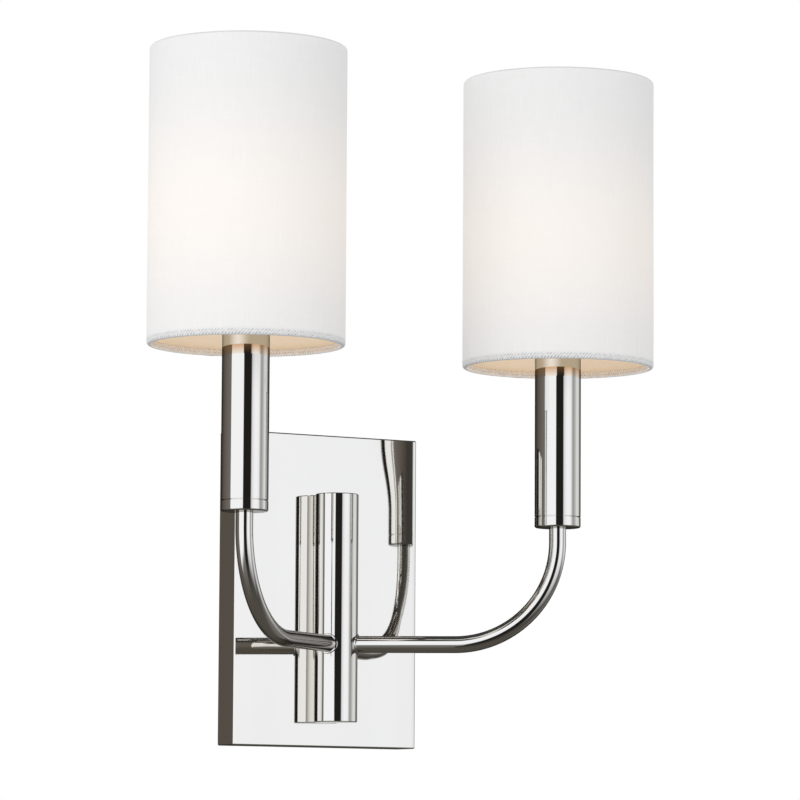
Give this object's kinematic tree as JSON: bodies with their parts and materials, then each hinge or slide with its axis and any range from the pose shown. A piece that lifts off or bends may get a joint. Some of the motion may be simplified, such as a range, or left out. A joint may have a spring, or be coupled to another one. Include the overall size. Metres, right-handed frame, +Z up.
{
  "type": "wall lamp",
  "caption": "Wall sconce with a flat backplate, an upright column and bent arms that carry sleeves and drum shades of linen, in polished nickel.",
  "frame": {"origin": "centre of the backplate's open back, on the wall, midway between the strap's two screw slots", "axes": "+Z up, +Y into the wall, +X to the right of someone who faces the lamp; the lamp stands out towards -Y"},
  "size_m": [0.3554, 0.1809, 0.4329],
  "materials": {
    "polished_nickel": "polished nickel plate, mirror bright and a little warm",
    "zinc_steel": "zinc-plated steel",
    "green_steel": "green dyed earth screw",
    "brass": "plain brass",
    "black_moulding": "black moulded phenolic",
    "white_wire": "white coated wire",
    "shade_lining": "translucent white styrene sheet",
    "white_linen": "white slub linen, bonded to its lining",
    "nickel_cap": "bright thin metal",
    "frosted_glass": "frosted soft-white glass",
    "warm_filament": "coated light-emitting sticks"
  },
  "bodies": {
    "fixture": {"backplate": "polished_nickel", "mounting_bracket": "zinc_steel", "plate_screws": "zinc_steel", "plate_screw_nuts": "zinc_steel", "ground_screw": "green_steel", "column": "polished_nickel", "column_top_cap": "polished_nickel", "column_bottom_cap": "polished_nickel", "column_nipple": "zinc_steel", "nipple_washer": "zinc_steel", "nipple_nut": "brass", "column_stud": "zinc_steel", "stud_washer": "zinc_steel", "stud_nut": "zinc_steel", "left_arm": "polished_nickel", "left_arm_collar": "polished_nickel", "left_cup": "polished_nickel", "left_cup_nut": "brass", "left_sleeve": "polished_nickel", "left_lampholder_bracket": "zinc_steel", "left_lampholder_rivet": "brass", "left_lampholder_body": "black_moulding", "left_centre_contact": "brass", "left_screw_shell": "brass", "left_shade_ring": "black_moulding", "right_arm": "polished_nickel", "right_arm_collar": "polished_nickel", "right_cup": "polished_nickel", "right_cup_nut": "brass", "right_sleeve": "polished_nickel", "right_lampholder_bracket": "zinc_steel", "right_lampholder_rivet": "brass", "right_lampholder_body": "black_moulding", "right_centre_contact": "brass", "right_screw_shell": "brass", "right_shade_ring": "black_moulding"},
    "left_shade": {"left_shade_spider": "white_wire", "left_shade_top_hoop": "white_wire", "left_shade_bottom_hoop": "white_wire", "left_shade_liner": "shade_lining", "left_shade_fabric": "white_linen"},
    "left_bulb_lift": {"left_bulb_tip": "brass"},
    "left_bulb": {"left_bulb_insulator": "black_moulding", "left_bulb_cap": "nickel_cap", "left_bulb_glass": "frosted_glass", "left_bulb_filament": "warm_filament"},
    "right_shade": {"right_shade_spider": "white_wire", "right_shade_top_hoop": "white_wire", "right_shade_bottom_hoop": "white_wire", "right_shade_liner": "shade_lining", "right_shade_fabric": "white_linen"},
    "right_bulb_lift": {"right_bulb_tip": "brass"},
    "right_bulb": {"right_bulb_insulator": "black_moulding", "right_bulb_cap": "nickel_cap", "right_bulb_glass": "frosted_glass", "right_bulb_filament": "warm_filament"}
  },
  "joints": [
    {"name": "left_shade_turn", "type": "hinge", "parent": "fixture", "child": "left_shade", "pos_m": [-0.11565, -0.11895, 0.176], "axis": [0, 0, 1], "continuous": true},
    {"name": "left_bulb_rise", "type": "slide", "parent": "fixture", "child": "left_bulb_lift", "axis": [0, 0, 1], "range_m": [0, 0.01524]},
    {"name": "left_bulb_turn", "type": "hinge", "parent": "left_bulb_lift", "child": "left_bulb", "pos_m": [-0.11565, -0.11895, 0.176], "axis": [0, 0, 1], "range_deg": [0, 2160]},
    {"name": "right_shade_turn", "type": "hinge", "parent": "fixture", "child": "right_shade", "pos_m": [0.11565, -0.11895, 0.176], "axis": [0, 0, 1], "continuous": true},
    {"name": "right_bulb_rise", "type": "slide", "parent": "fixture", "child": "right_bulb_lift", "axis": [0, 0, 1], "range_m": [0, 0.01524]},
    {"name": "right_bulb_turn", "type": "hinge", "parent": "right_bulb_lift", "child": "right_bulb", "pos_m": [0.11565, -0.11895, 0.176], "axis": [0, 0, 1], "range_deg": [0, 2160]}
  ],
  "couplings": [
    {"joint": "left_bulb_rise", "follows": "left_bulb_turn", "m_per_rad": 0.00040425},
    {"joint": "right_bulb_rise", "follows": "right_bulb_turn", "m_per_rad": 0.00040425}
  ]
}
